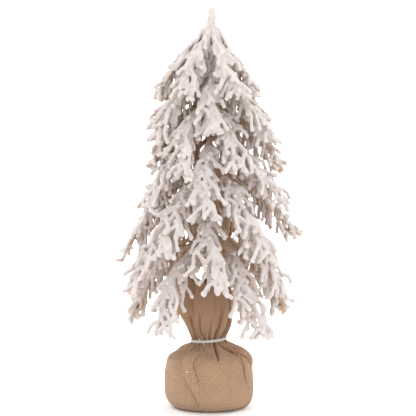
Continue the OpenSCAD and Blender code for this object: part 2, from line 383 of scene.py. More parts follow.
def burlap_material():
    m = Nodes("burlap")
    p = m.obj()
    v = m.attribute("cloth").outputs["Vector"]
    wob = m.noise(v, 90.0, 2.0, 0.5, out=1)
    wv = m.node("ShaderNodeVectorMath", operation="MULTIPLY_ADD")
    m.put(wv.inputs[0], wob)
    wv.inputs[1].default_value = (0.0016, 0.0016, 0.0)
    m.put(wv.inputs[2], v)
    s = m.split(wv.outputs[0])
    pitch = 1.0 / 0.0026
    X = m.math("MULTIPLY", s[0], pitch)
    Y = m.math("MULTIPLY", s[1], pitch)
    fx, fy = m.math("FRACT", X), m.math("FRACT", Y)
    ix, iy = m.math("FLOOR", X), m.math("FLOOR", Y)
    ax = m.math("SINE", m.math("MULTIPLY", fx, math.pi))
    ay = m.math("SINE", m.math("MULTIPLY", fy, math.pi))
    par = m.math("MODULO", m.math("ABSOLUTE", m.math("ADD", ix, iy)), 2.0)
    par = m.math("GREATER_THAN", par, 0.5)
    ra = m.math("POWER", ax, 0.55)
    rb = m.math("POWER", ay, 0.55)
    warp = m.math("MULTIPLY", ra, m.math("MULTIPLY_ADD", ay, 0.5, 0.52))
    weft = m.math("MULTIPLY", rb, m.math("MULTIPLY_ADD", ax, 0.5, 0.36))
    mixh = m.node("ShaderNodeMix", data_type="FLOAT")
    m.put(mixh.inputs[0], par)
    m.put(mixh.inputs[2], warp)
    m.put(mixh.inputs[3], weft)
    weave = mixh.outputs[0]
    yarn_x = m.noise(m.join(ix, m.math("MULTIPLY", s[1], 30.0), 0.0), 1.7, 2.0)
    yarn_y = m.noise(m.join(m.math("MULTIPLY", s[0], 30.0), iy, 7.0), 1.7, 2.0)
    mixy = m.node("ShaderNodeMix", data_type="FLOAT")
    m.put(mixy.inputs[0], par)
    m.put(mixy.inputs[2], yarn_x)
    m.put(mixy.inputs[3], yarn_y)
    yarn = mixy.outputs[0]
    fibre = m.noise(p, 2600.0, 2.0, 0.6)
    patch = m.noise(p, 38.0, 3.0, 0.55)
    base = m.ramp(yarn, [(0.25, lin(141, 108, 83)[:3]), (0.5, lin(156, 123, 99)[:3]), (0.75, lin(172, 138, 114)[:3])])
    base = m.mix(m.spread(patch, 0.35, 0.7, 0.0, 0.35), base, lin(178, 138, 100))
    base = m.mix(m.math("MULTIPLY", fibre, 0.25), base, lin(235, 208, 172))
    gap = m.spread(weave, 0.06, 0.48)
    col = m.mix(gap, lin(122, 88, 64), base)
    speck = m.node("ShaderNodeTexVoronoi")
    m.put(speck.inputs["Vector"], p)
    speck.inputs["Scale"].default_value = 85.0
    pick = m.math("GREATER_THAN", m.split(speck.outputs["Color"])[0], 0.86)
    dot = m.math("MULTIPLY", pick, m.math("SUBTRACT", 1.0, m.spread(speck.outputs["Distance"], 0.04, 0.13)))
    col = m.mix(m.math("MULTIPLY", dot, 0.75), col, lin(232, 224, 220))
    # painted shade: the shade attribute pulls the cloth towards dark brown in the gathers, the creases, under the laps
    # and on the ruff
    painted_shade_fac = m.attribute("shade").outputs["Fac"]
    col = m.mix(painted_shade_fac, col, lin(112, 70, 42))
    h = m.math("ADD", weave, m.math("MULTIPLY", fibre, 0.3))
    nor = m.bump(h, 0.9, 0.0007)
    return m.finish(col, 0.92, nor, Sheen_Weight=0.15, Sheen_Roughness=0.6, Specular_IOR_Level=0.15)


def paper_material(name, c0, c1, turns):
    """Brown paper or tape wound round in a spiral, with soft creases."""
    m = Nodes(name)
    p = m.obj()
    s = m.split(p)
    ang_ = m.math("ARCTAN2", s[1], s[0])
    spiral = m.math("FRACT", m.math("ADD", m.math("MULTIPLY", s[2], turns), m.math("DIVIDE", ang_, 2 * math.pi)))
    edge = m.spread(spiral, 0.0, 0.14)
    crease = m.noise(p, 240.0, 4.0, 0.65, distortion=0.4)
    patch = m.noise(p, 60.0, 2.0)
    col = m.mix(m.spread(crease, 0.3, 0.7), c0, c1)
    col = m.mix(m.spread(patch, 0.4, 0.7, 0.0, 0.5), col, c0)
    col = m.mix(edge, lin(96, 66, 44), col)
    h = m.math("ADD", m.math("MULTIPLY", crease, 0.7), m.math("MULTIPLY", spiral, 0.8))
    return m.finish(col, 0.85, m.bump(h, 0.8, 0.0008), Specular_IOR_Level=0.25)


def cement_material():
    m = Nodes("cement")
    p = m.obj()
    big = m.noise(p, 90.0, 4.0, 0.6)
    fine = m.noise(p, 900.0, 3.0, 0.7)
    v = m.node("ShaderNodeTexVoronoi")
    m.put(v.inputs["Vector"], p)
    v.inputs["Scale"].default_value = 260.0
    pit = m.spread(v.outputs["Distance"], 0.0, 0.18)
    col = m.mix(m.spread(big, 0.3, 0.7), lin(150, 147, 140), lin(182, 179, 171))
    col = m.mix(m.spread(fine, 0.4, 0.8, 0.0, 0.6), col, lin(120, 117, 110))
    col = m.mix(pit, lin(98, 95, 90), col)
    h = m.math("ADD", m.math("MULTIPLY", fine, 0.5), m.math("MULTIPLY", pit, 0.6))
    return m.finish(col, 0.93, m.bump(h, 0.7, 0.0009), Specular_IOR_Level=0.2)


def plastic_material():
    m = Nodes("pot_plastic")
    p = m.obj()
    grain = m.noise(p, 1700.0, 2.0, 0.6)
    scuff = m.noise(p, 130.0, 4.0, 0.7, distortion=1.2)
    col = m.mix(m.spread(scuff, 0.45, 0.75, 0.0, 0.5), lin(92, 70, 55), lin(120, 97, 80))
    col = m.mix(m.spread(grain, 0.3, 0.8, 0.0, 0.25), col, lin(70, 52, 40))
    rough = m.spread(scuff, 0.3, 0.8, 0.42, 0.62)
    return m.finish(col, rough, m.bump(grain, 0.25, 0.0002), Specular_IOR_Level=0.45)


def metal_material(name, c0, c1, stretch):
    m = Nodes(name)
    p = m.obj()
    s = m.split(p)
    q = m.join(m.math("MULTIPLY", s[0], stretch), m.math("MULTIPLY", s[1], stretch), s[2])
    draw = m.noise(q, 300.0, 3.0, 0.6)
    spot = m.noise(p, 700.0, 2.0)
    col = m.mix(draw, c0, c1)
    col = m.mix(m.spread(spot, 0.6, 0.8, 0.0, 0.4), col, lin(120, 104, 92))
    rough = m.spread(spot, 0.3, 0.8, 0.28, 0.5)
    return m.finish(col, rough, m.bump(draw, 0.3, 0.00015), metal=1.0)


def nylon_material():
    m = Nodes("tie_cord")
    p = m.obj()
    s = m.split(m.attribute("twist").outputs["Vector"])
    strand = m.math("SINE", m.math("ADD", m.math("MULTIPLY", s[0], 2600.0), m.math("MULTIPLY", s[1], 12.566)))
    fuzz = m.noise(p, 1900.0, 3.0, 0.6)
    col = m.mix(m.spread(strand, -1.0, 1.0), lin(196, 190, 184), lin(244, 242, 240))
    col = m.mix(m.spread(fuzz, 0.4, 0.75, 0.0, 0.4), col, lin(214, 205, 196))
    h = m.math("ADD", m.math("MULTIPLY", strand, 0.5), m.math("MULTIPLY", fuzz, 0.35))
    return m.finish(col, 0.42, m.bump(h, 0.6, 0.0004), Specular_IOR_Level=0.5)


# ---------------------------------------------------------------------------
# Sprays
# ---------------------------------------------------------------------------
def width(k, j, a, n=0.0):
    """A little wider than the solid's sector, for the soft twigs' outsides."""
    return max(0.6, (radial(k, j, a) + n * sind(ang(k, j, a))) * math.tan(math.radians(HALF_SECTOR + 10.5)) - 2.2)


def wander(path, s, amount):
    """Bends a path a little, less at its start."""
    out = []
    n = len(path) - 1
    for i, q in enumerate(path):
        w = amount * min(1.0, 2.0 * i / n)
        d = np.array([noise.noise(Vector((q[0] * 0.11 + s, q[1] * 0.11, q[2] * 0.11 + 7 * c))) for c in (0, 1, 2)])
        r = q[3] * (1 + 0.13 * noise.noise(Vector((q[0] * 0.35, q[1] * 0.35 + s, q[2] * 0.35))))
        out.append(np.array((*(q[:3] + d * w), r)))
    return out


def spray_paths(k, j):
    """Centre lines of one spray: its stem, the side twigs that the solid has, and the small shoots between them."""
    rs = random.Random(1000 * k + 37 * j + 5)
    L = length(k, j)
    paths = []
    r = STEM_R
    fr = (0.02 + 1.5 / L if k == 0 else 0.045 + 2.5 / L, 0.16, 0.27, 0.4, 0.5, 0.62, 0.75, 0.88, 1.0)
    main = [(*stem(k, j, f * L), r * (0.86 - 0.10 * f) + 0.1 * rs.uniform(-1, 1)) for f in fr]
    main[-1] = (*main[-1][:3], r * 0.92)
    paths.append(wander(spline(main, 2.2), k * 3.1 + j, 0.9))

    def shoot(a0, t0, n0, da, dt, dn, r0, r1, tip, narrow=False):
        """From a point in the spray's own coordinates, a curved shoot that ends in a rounded tip."""
        curl = rs.uniform(-0.25, 0.25)
        bow = rs.uniform(-3.0, 3.0)
        if not narrow:
            da = min(da, max(4.0, L + (0.0 if k == 6 else 3.0) - a0))
        pts = []
        for f in (0.0, 0.35, 0.7, 1.0):
            a = a0 + da * f
            n = n0 + dn * (f ** 1.15) + bow * math.sin(math.pi * f)
            t = t0 + dt * (f ** (0.75 + curl))
            t = clampv(t, room(k, j, a, n) * 1.05 if narrow else width(k, j, a, n))
            rr = r0 + (r1 - r0) * f
            if f == 1.0:
                rr = tip
            pts.append((*at(k, j, a, t, n), rr))
        pts.insert(3, (*(0.25 * np.array(pts[2][:3]) + 0.75 * np.array(pts[3][:3])), (r1 + tip) / 2))
        paths.append(wander(spline(pts, 2.0), rs.uniform(0, 50), 0.9))

    for i in range(N_TWIGS):
        s1 = seed(k, j, 10 + i)
        side = 1 if i % 2 == 0 else -1
        inner = i % 3 == 2
        a0 = L * (0.17 + 0.72 * i / N_TWIGS) + 3 * rnd(s1)
        tl = (30 + 13 * rnd(s1 + 1)) * (1 - 0.25 * i / N_TWIGS) * (L / 125 + 0.15)
        a1 = a0 + tl * 0.42
        a2 = a0 + tl * (0.90 + 0.06 * rnd(s1 + 2))
        t0 = sway(k, j, a0)
        wide = 0.35 if inner else 1
        n1 = -0.22 * tl if inner else 1.6 * rnd(s1 + 5)
        n2 = -0.34 * tl if inner else -1.5 + 3.5 * rnd(s1 + 6)
        n3 = n1 + (-3.5 if inner else 3.8)
        t1 = clampv(t0 + side * tl * 0.30 * wide * (0.8 + 0.4 * rnd(s1 + 3)), room(k, j, a1, n1))
        t2 = clampv(t0 + side * tl * 0.42 * wide * (0.7 + 0.6 * rnd(s1 + 4)), room(k, j, a2, n2))
        f = side * (1 if inner else -1)
        a3 = a1 + tl * 0.34
        t3 = clampv(t1 + f * tl * 0.26, room(k, j, a3, n3))
        p0, p1, p2 = at(k, j, a0, t0, 0), at(k, j, a1, t1, n1), at(k, j, a2, t2, n2)
        R = TWIG_R
        paths.append(wander(spline([(*p0, R), (*p1, R * 0.95), (*(0.45 * p1 + 0.55 * p2), R * 0.84), (*(0.14 * p1 + 0.86 * p2), R * 1.0), (*p2, R * 1.06)], 2.0), s1, 0.8))
        if i % 3 != 1:
            p3 = at(k, j, a3, t3, n3)
            paths.append(wander(spline([(*p1, R * 0.9), (*(0.5 * p1 + 0.5 * p3), R * 0.8), (*p3, R * 0.98)], 2.0), s1 + 4, 0.7))
        # shoots along the twig
        for m in range(3):
            g = (0.32, 0.6, 0.88)[m] + rs.uniform(-0.12, 0.08)
            a = a0 + (a2 - a0) * g
            t = t0 + (t2 - t0) * g
            n = (n1 * g * 2 if g < 0.5 else n1 + (n2 - n1) * (g - 0.5) * 2)
            sd = -side if m == 1 else side
            shoot(a, t, n, rs.uniform(9, 18), sd * rs.uniform(4, 11), rs.choice((-1, 1)) * rs.uniform(2.0, 6.0), 2.3, 2.05, rs.uniform(2.5, 3.0))
    # shoots along the stem, on both sides, on top and below
    count = 14
    for m in range(count):
        g = 0.06 + 0.88 * (m + rs.uniform(0.15, 0.85)) / count
        a = L * g
        kind = m % 4
        t = sway(k, j, a)
        if kind < 2:
            sd = 1 if kind == 0 else -1
            shoot(a, t, 0, rs.uniform(15, 27), sd * rs.uniform(8, 18), rs.uniform(-5, 3), 2.45, 2.1, rs.uniform(2.5, 3.0))
        elif kind == 2:
            shoot(a, t, 0, rs.uniform(11, 19), rs.uniform(-5, 5), rs.uniform(3.0, 6.0), 2.35, 2.05, rs.uniform(2.4, 2.9))
        else:
            shoot(a, t, 0, rs.uniform(14, 24), rs.uniform(-8, 8), -rs.uniform(6, 12), 2.3, 2.0, rs.uniform(2.3, 2.8))
    # longer shoots that hang straight down from the stem and fill the inside
    count = (9, 11, 12, 12, 12, 14, 15)[k]
    for m in range(count):
        g = 0.05 + 0.66 * (m + rs.uniform(0.1, 0.9)) / count
        a = L * g
        fall = rs.uniform(24, 42) * (1 - 0.3 * g)
        if k == 6:
            fall *= 0.8
        th = ang(k, j, a)
        out_ = rs.uniform(0.0, 0.22) * fall
        da = fall * sind(th) + out_ * cosd(th)
        dn = -fall * cosd(th) + out_ * sind(th)
        sd = 1 if m % 2 else -1
        shoot(a, sway(k, j, a), 0, da, sd * rs.uniform(2, 11), dn, 2.3, 1.95, rs.uniform(2.2, 2.7), True)
    return paths


# Half-width of the whole tree's outline at each height, in millimetres.
OUTLINE = [(450, 5), (430, 10), (400, 33), (370, 50), (340, 61), (300, 70), (250, 82), (200, 92), (150, 94), (110, 90), (70, 86)]


def outline(z):
    zs = [o[0] for o in OUTLINE][::-1]
    rs_ = [o[1] for o in OUTLINE][::-1]
    return np.interp(z, zs, rs_)


def flock_cover_and_painted_shade(co, no, az=None):
    """0 where the twig is tan, 1 where it is white, for each vertex in millimetres; the tan is partly the unflocked
    twig and partly painted shade on undersides, inward faces and twigs deep inside the tree.
    """
    r = np.hypot(co[:, 0], co[:, 1])
    rel = r / outline(co[:, 2])
    er = co[:, :2] / np.maximum(r, 1e-6)[:, None]
    out = no[:, 0] * er[:, 0] + no[:, 1] * er[:, 1]
    face = 0.55 * no[:, 2] + 0.6 * out
    # tanner on faces turned down and inward: partly the unflocked underside, partly painted shade
    cover = smoothstep(face, -0.75, 0.25)
    # painted shade: twigs deep inside the tree, towards the trunk, are tanner
    depth = smoothstep(rel, 0.30, 0.72)
    patch = 0.5 + 0.5 * value_noise(co / 9.0, 3)
    c = cover * (0.35 + 0.65 * depth) + 0.25 * depth * patch
    return np.clip(c, 0, 1)


def lumpy(co, no, s=0):
    """Flock lies in small lumps: returns how far each point moves outwards, in millimetres."""
    a = value_noise(co / 2.6, 11 + s)
    b = value_noise(co / 1.3, 23 + s)
    c = value_noise(co / 6.0, 31 + s)
    return 0.62 * a + 0.30 * b + 0.24 * c


def remeshed(verts, faces, voxel, name):
    """Joins overlapping tubes into one skin."""
    ob = new_object(name + ".raw", [v * MM for v in verts], faces, False)
    mod = ob.modifiers.new("join", "REMESH")
    mod.mode = "VOXEL"
    mod.voxel_size = voxel * MM
    mod.adaptivity = 0.0
    dg = bpy.context.evaluated_depsgraph_get()
    me = bpy.data.meshes.new_from_object(ob.evaluated_get(dg))
    old = ob.data
    bpy.data.objects.remove(ob)
    bpy.data.meshes.remove(old)
    return me


def relax(me, rounds, factor=0.5):
    """Laplacian smoothing, to take the voxel steps out."""
    n = len(me.vertices)
    ed = np.empty(len(me.edges) * 2, np.int32)
    me.edges.foreach_get("vertices", ed)
    ed = ed.reshape(-1, 2)
    deg = np.bincount(ed.ravel(), minlength=n).astype(float)
    deg[deg == 0] = 1
    co = coords(me)
    for _ in range(rounds):
        acc = np.zeros_like(co)
        for c in range(3):
            acc[:, c] = np.bincount(ed[:, 0], co[ed[:, 1], c], n) + np.bincount(ed[:, 1], co[ed[:, 0], c], n)
        co += factor * (acc / deg[:, None] - co)
    set_coords(me, co)


def give_attribute(me, name, values, domain="POINT", kind="FLOAT"):
    at_ = me.attributes.new(name, kind, domain)
    if kind == "FLOAT":
        at_.data.foreach_set("value", np.ascontiguousarray(values, np.float32))
    else:
        at_.data.foreach_set("vector", np.ascontiguousarray(values, np.float32).ravel())


def make_spray(k, j, mat, voxel):
    name = "spray_%d%s" % (k + 1, "abcdef"[j])
    verts, faces = [], []
    for path in spray_paths(k, j):
        tube(verts, faces, path)
    me = remeshed(verts, faces, voxel, name)
    relax(me, 2)
    co, no = coords(me) / MM, normals(me)
    co = co + no * (lumpy(co, no, j) + 0.12)[:, None]
    set_coords(me, co * MM)
    # the bare wire and its bent leg, wrapped in brown tape
    wv, wf = [], []
    root = at(k, j, 0, 0, 0)
    az = azim(k, j)
    side = np.array((-sind(az), cosd(az), 0.0))
    start = stem(k, j, 0.045 * length(k, j) + 5.0)
    tube(wv, wf, [np.array((*(root + side * d), 1.42)) for d in (-1.75, -0.6, 0.6, 1.75)], 12, False)
    tube(wv, wf, [np.array((*q, 0.95)) for q in (root, 0.5 * root + 0.5 * start, start)], 10, False)
    wire = new_object(name + ".wire", [v * MM for v in wv], wf)
    ob = bpy.data.objects.new(name + "_flocked", me)
    bpy.context.scene.collection.objects.link(ob)
    me.polygons.foreach_set("use_smooth", [True] * len(me.polygons))
    n0 = len(me.vertices)
    no = normals(me)
    c = flock_cover_and_painted_shade(coords(me) / MM, no)
    me2 = join_meshes(me, wire)
    ob.data = me2
    vals = np.zeros(len(me2.vertices))
    vals[:n0] = c
    give_attribute(me2, "flock", vals)
    me2.materials.append(mat)
    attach(ob, name)
    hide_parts(name)
    return ob


def mesh_arrays(me):
    loops = np.empty(len(me.loops), np.int32)
    me.loops.foreach_get("vertex_index", loops)
    total = np.empty(len(me.polygons), np.int32)
    me.polygons.foreach_get("loop_total", total)
    return coords(me), loops, total


def mesh_from_arrays(name, co, loops, total):
    me = bpy.data.meshes.new(name)
    me.vertices.add(len(co))
    me.vertices.foreach_set("co", np.ascontiguousarray(co, np.float32).ravel())
    me.loops.add(len(loops))
    me.loops.foreach_set("vertex_index", np.ascontiguousarray(loops, np.int32))
    me.polygons.add(len(total))
    start = np.concatenate(([0], np.cumsum(total)[:-1])).astype(np.int32)
    me.polygons.foreach_set("loop_start", start)
    me.update(calc_edges=True)
    me.validate()
    me.polygons.foreach_set("use_smooth", [True] * len(me.polygons))
    return me


def join_meshes(me, other):
    """One mesh of me and another object, me's vertices first."""
    a, la, ta = mesh_arrays(me)
    b, lb, tb = mesh_arrays(other.data)
    out = mesh_from_arrays(me.name + ".all", np.vstack((a, b)), np.concatenate((la, lb + len(a))), np.concatenate((ta, tb)))
    bpy.data.objects.remove(other)
    return out


# ---------------------------------------------------------------------------
# Burlap: one cloth, folded over itself in places and gathered at the tie
# ---------------------------------------------------------------------------
BASE_R, NECK_R, TIE_Z, RUFF_TOP = 51.5, 19.5, 78.0, 150.0


def arc_points(cx, cz, r, a, b, n):
    return [(cx + r * cosd(a + (b - a) * i / n), cz + r * sind(a + (b - a) * i / n)) for i in range(n + 1)]


def profile():
    """The outside of the wrapped base and the ruff, from the middle of the underside to the free edge."""
    p = [(2.0, 0.9), (20.0, 0.7)] + arc_points(BASE_R - 15.6, 15.4, 15, -88, 0, 8) + [(BASE_R - 0.4, 28.0), (BASE_R - 0.6, 38.0), (BASE_R - 1.4, 47.0)]
    p += arc_points(BASE_R - 13.4, 52, 12, 8, 60, 6) + [(38.5, 65.6), (31.0, 68.3), (25.2, 71.6), (21.2, 74.6), (NECK_R - 0.2, TIE_Z - 1.5), (NECK_R - 0.2, TIE_Z + 1.5)]
    p += [(20.9, 82.0), (23.4, 87.0), (25.9, 94.0), (28.3, 104.0), (29.2, 114.0), (29.3, 124.0), (28.2, 135.0), (26.4, 145.0), (25.2, RUFF_TOP - 1.0)]
    return p


def resample(points, step):
    q = [np.array(points[0], float)]
    for a, b in zip(points[:-1], points[1:]):
        a, b = np.array(a, float), np.array(b, float)
        n = max(1, int(round(np.linalg.norm(b - a) / step)))
        q += [a + (b - a) * (i + 1) / n for i in range(n)]
    q = np.array(q)
    for _ in range(2):
        q[1:-1] = 0.25 * q[:-2] + 0.5 * q[1:-1] + 0.25 * q[2:]
    return q


def build_burlap(mat):
    prof = resample(profile(), 1.7)
    s_len = np.concatenate(([0], np.cumsum(np.linalg.norm(np.diff(prof, axis=0), axis=1)))) + prof[0][0]
    V = len(prof)
    zz = prof[:, 1]
    # Folds: the cloth runs on past an edge, turns back beneath and turns forward again.
    # Each is (edge angle at the foot, at the shoulder, width there in mm, +1 where the upper layer is on the lower-angle side).
    folds = [(257.5, 233.0, 13.0, -1), (341.0, 333.5, 12.0, 1), (52.0, 66.0, 13.0, 1), (150.0, 128.0, 12.0, -1)]
    i_foot = int(np.argmin(np.abs(zz - 8.0) + (prof[:, 0] < 40) * 50))
    i_tie = int(np.argmin(np.abs(zz - TIE_Z)))
    grow = smoothstep(s_len, s_len[i_foot] - 12, s_len[i_foot] + 38)
    fade = 1 - smoothstep(zz, 64.0, 75.0) * (np.arange(V) > i_foot)
    U = 720
    rows = []
    for v in range(V):
        r = prof[v][0]
        g = grow[v] * fade[v]
        tt = smoothstep(np.array([zz[v]]), 4.0, 60.0)[0] if v > i_foot - 6 else 0.0
        spans = []          # (angle from, angle to, layer from, layer to)
        cur = 0.0
        lay = 0.0
        order = sorted(((f0 + (f1 - f0) * tt) % 360, wmax, up) for f0, f1, wmax, up in folds)
        pos = 0.0
        segs = []
        for e, wmax, up in order:
            w = math.degrees(max(0.03, wmax * g) / max(r, 6.0))
            if up > 0:      # upper layer comes from the low side, and ends at e
                a_edge, b_edge = e, e - w
                segs.append((pos, a_edge, 0.0, 2.0))
                segs.append((a_edge, b_edge, 2.0, 1.0))
                segs.append((b_edge, a_edge, 1.0, 0.0))
                pos = a_edge
            else:           # upper layer comes from the high side, and ends at e
                a_edge, b_edge = e, e + w
                segs.append((pos, a_edge, 0.0, 0.0))
                segs.append((a_edge, b_edge, 0.0, 1.0))
                segs.append((b_edge, a_edge, 1.0, 2.0))
                pos = a_edge
        segs.append((pos, 360.0, 0.0, 0.0))
        rows.append((r, g, segs))
    # The same number of columns in every row, so that the grid joins up.
    shares = []
    for n_s in range(len(rows[0][2])):
        big = max(abs(rows[v][2][n_s][1] - rows[v][2][n_s][0]) for v in range(i_foot, i_tie))
        shares.append(max(8, int(big / 360 * U)))
    verts, cloth, shade = [], [], []
    cols = sum(shares)
    front = []
    for v in range(V):
        r, g, segs = rows[v]
        z = zz[v]
        nxt = prof[min(v + 1, V - 1)] - prof[max(v - 1, 0)]
        nrm = np.array((nxt[1], -nxt[0])) / (np.linalg.norm(nxt) + 1e-9)
        for si, ((a, b, l0, l1), n) in enumerate(zip(segs, shares)):
            for c in range(n):
                f = c / n
                th = a + (b - a) * f
                lay = l0 + (l1 - l0) * f
                if abs(b - a) > 40 * 0 + math.degrees(14.0 / max(r, 8.0)) and l1 == 2.0 and l0 == 0.0:
                    # rise to the upper layer over the last stretch before the edge
                    run = math.degrees(16.0 / max(r, 8.0))
                    lay = 2.0 * smoothstep(np.array([th]), b - run, b - run * 0.15)[0]
                if si and segs[si - 1][3] == 2.0 and l0 == 0.0 and l1 in (0.0, 2.0) and abs(b - a) > 5:
                    # fall from the upper layer that ended beside this one
                    run = math.degrees(16.0 / max(r, 8.0))
                    lay = max(lay, 2.0 * (1 - smoothstep(np.array([th]), a + run * 0.15, a + run)[0]))
                verts.append((r, th, z, lay * g, nrm[0], nrm[1]))
                cloth.append((math.radians(th) * 50.0, s_len[v]))
                front.append(si)
    A = np.array(verts)
    C = np.array(cloth)
    r, th, z, lay = A[:, 0].copy(), np.radians(A[:, 1]), A[:, 2].copy(), A[:, 3]
    row = np.repeat(np.arange(V), cols)
    above = row >= i_tie
    # gathers: pleats fade out down the shoulder, and open into soft waves up the ruff
    n_pl = 21
    jitter = 0.9 * np.sin(3 * th + 1.0) + 0.6 * np.sin(5 * th + 2.2) + 0.4 * np.sin(8 * th)
    ph = n_pl * th + jitter
    dist = np.abs(z - TIE_Z)
    near = np.exp(-(dist / np.where(above, 9.0, 4.6)) ** 1.3)
    near = np.where((row > i_foot), near, 0.0)
    groove = np.abs(np.sin(ph / 2)) ** 0.6
    deep = 0.5 + 0.5 * value_noise(np.stack((np.cos(th) * 3, np.sin(th) * 3, np.zeros_like(th)), 1), 5)
    pull = -(1 - groove) * (3.4 + 3.2 * deep) * near
    # ruff waves
    up = smoothstep(z, TIE_Z + 1, TIE_Z + 40) * above
    wave = (1.5 * np.sin(7 * th + 0.6 + 0.012 * z) + 1.1 * np.sin(11 * th + 2.0 - 0.02 * z) + 0.7 * np.sin(4 * th + 3.9)) * up
    # slack: soft dents all over, more on the shoulder, which stands higher on the right than on the left
    P = np.stack((np.cos(th) * BASE_R, np.sin(th) * BASE_R, z), 1)
    soft = 0.75 * value_noise(P / 22.0, 41) + 0.35 * value_noise(P / 9.0, 42)
    slack = soft * smoothstep(z, 3, 16) * (0.55 + 0.75 * smoothstep(z, 44, 60)) * (1 - near)
    slack = slack + ~above * smoothstep(z, 40, 58) * (1 - smoothstep(z, 68, 75)) * (1.5 * np.cos(th - 0.2) - 0.4)
    slack = slack - ~above * (1 - smoothstep(z, 2, 24)) * 1.4 * smoothstep(np.cos(th - math.radians(215)), 0.2, 1.0) * (row > i_foot - 8)
    # the ruff stands out in a curl on the left and lies close on the right
    slack = slack + above * (6.5 * np.exp(-(np.angle(np.exp(1j * (th - math.radians(196)))) / 0.30) ** 2 - ((z - 114) / 15.0) ** 2)
                             - 3.0 * np.exp(-(np.angle(np.exp(1j * (th - math.radians(348)))) / 0.5) ** 2) * smoothstep(z, 92, 112))
    # creases: (points of azimuth and height, depth, half-width, how far a lip stands up on the higher-angle side)
    creases = [([(287, 76), (286, 70), (283.5, 62), (283, 58.5)], 3.2, 1.5, 1.3),
               ([(261, 68), (272, 67.2), (281, 68)], 0.9, 0.8, 0.0),
               ([(263, 65.6), (274, 64.8), (282, 65.4)], 1.1, 0.8, 0.0),
               ([(266, 63), (275, 62.2), (281, 63)], 0.9, 0.8, 0.0),
               ([(304, 75), (309, 72), (316, 67), (321, 63.2), (327, 58), (334, 49), (338, 40), (340, 30)], 2.4, 1.7, 1.2),
               ([(311, 70.5), (324, 66), (337, 61.5)], 1.0, 1.6, 0.6),
               ([(221, 75), (224, 67.5), (226, 64)], 1.9, 1.5, 0.8),
               ([(236, 70), (233, 63)], 1.5, 1.6, 0.5),
               ([(247, 75), (246, 68)], 1.2, 1.2, 0.4),
               ([(196, 74), (190, 64), (187, 55)], 2.0, 1.9, 0.9),
               ([(160, 75), (155, 66), (146, 58), (142, 48)], 2.2, 1.8, 0.9),
               ([(120, 75), (118, 65)], 1.6, 1.5, 0.6),
               ([(88, 75), (84, 66), (76, 58), (72, 50)], 2.3, 1.8, 1.0),
               ([(55, 74), (52, 64)], 1.5, 1.5, 0.6),
               ([(20, 75), (14, 66), (9, 59)], 1.8, 1.7, 0.8),
               ([(250, 84), (247, 94), (250, 106), (246, 118)], 1.7, 1.5, 0.8),
               ([(228, 84), (222, 97), (219, 112)], 2.2, 1.7, 1.0),
               ([(292, 84), (297, 96), (300, 112), (297, 128)], 2.0, 1.6, 1.0),
               ([(272, 86), (276, 98), (273, 108)], 1.0, 1.6, 0.4),
               ([(320, 84), (328, 98), (331, 116)], 2.2, 1.8, 1.0),
               ([(100, 84), (95, 100), (98, 120)], 2.0, 1.7, 1.0), ([(150, 84), (156, 102), (152, 122)], 2.0, 1.7, 1.0), ([(40, 84), (34, 100), (37, 122)], 2.0, 1.7, 1.0)]
    groove_dark = np.zeros_like(r)
    fold = np.zeros_like(r)
    for pts_, depth_, wide_, lip_ in creases:
        best = np.full(len(r), 1e9)
        sgn = np.zeros(len(r))
        along_ = np.zeros(len(r))
        for i_, (p_, q_) in enumerate(zip(pts_[:-1], pts_[1:])):
            dx = np.angle(np.exp(1j * (th - math.radians(p_[0])))) * r
            dz = z - p_[1]
            ex = math.radians(q_[0] - p_[0]) * r
            ez = q_[1] - p_[1]
            L2 = ex * ex + ez * ez
            t_ = np.clip((dx * ex + dz * ez) / L2, 0, 1)
            ddx, ddz = dx - t_ * ex, dz - t_ * ez
            d_ = np.hypot(ddx, ddz)
            take = d_ < best
            best = np.where(take, d_, best)
            flip = np.sign(ez) if ez else 1.0
            cross_ = (dx * ez - dz * ex) / np.sqrt(L2)
            sgn = np.where(take, cross_ * (1.0 if q_[1] > p_[1] else -1.0), sgn)
            along_ = np.where(take, (i_ + t_) / (len(pts_) - 1), along_)
        end = 1 - smoothstep(along_, 0.45, 1.02) if len(pts_) > 2 else np.ones_like(r)
        ok = (above if pts_[0][1] > TIE_Z else ~above)
        g_ = np.exp(-(best / wide_) ** 2) * end * ok * (row > i_foot)
        fold = fold - depth_ * g_ + lip_ * np.exp(-((sgn - 2.1 * wide_) / (1.5 * wide_)) ** 2) * np.exp(-(np.maximum(best - 4 * wide_, 0) / 2.0) ** 2) * end * ok * (row > i_foot)
        # painted shade along the crease, stronger for deeper creases
        groove_dark = np.maximum(groove_dark, np.exp(-(best / (0.75 * wide_)) ** 2) * end * ok * min(1.0, depth_ / 2.4))
    off = lay * 1.9 + pull + wave + slack + fold
    rr = np.maximum(r + off * A[:, 4], 0.6)
    z2 = z + off * A[:, 5] * np.where(row < i_foot, 0.35, 1.0)
    edge = row / (V - 1)
    z2 = z2 + (1.8 * np.sin(5 * th + 1) + 1.3 * np.sin(9 * th)) * smoothstep(edge, 0.86, 1.0) - 1.5 * smoothstep(edge, 0.86, 1.0)
    z2 = z2 + 1.6 * np.cos(th) * np.exp(-((z - TIE_Z) / 9.0) ** 2) * (row > i_foot)
    z2 = np.maximum(z2, 0.25)
    co = np.stack((rr * np.cos(th), rr * np.sin(th), z2), 1)
    # faces
    idx = np.arange(V * cols).reshape(V, cols)
    a0 = idx[:-1]
    a1 = np.roll(idx[:-1], -1, axis=1)
    b0 = idx[1:]
    b1 = np.roll(idx[1:], -1, axis=1)
    quads = np.stack((a0, a1, b1, b0), -1).reshape(-1, 4)
    me = mesh_from_arrays("burlap_cloth", co * MM, quads.ravel(), np.full(len(quads), 4))
    # weave coordinates on face corners: the front panel is on the bias
    col_seg = np.repeat(np.arange(len(shares)), shares)
    loops = np.empty(len(me.loops), np.int32)
    me.loops.foreach_get("vertex_index", loops)
    corner = C[loops]
    face_col = np.tile(np.arange(cols), V - 1)
    seg_of_face = col_seg[face_col]
    seg_of_loop = np.repeat(seg_of_face, 4)
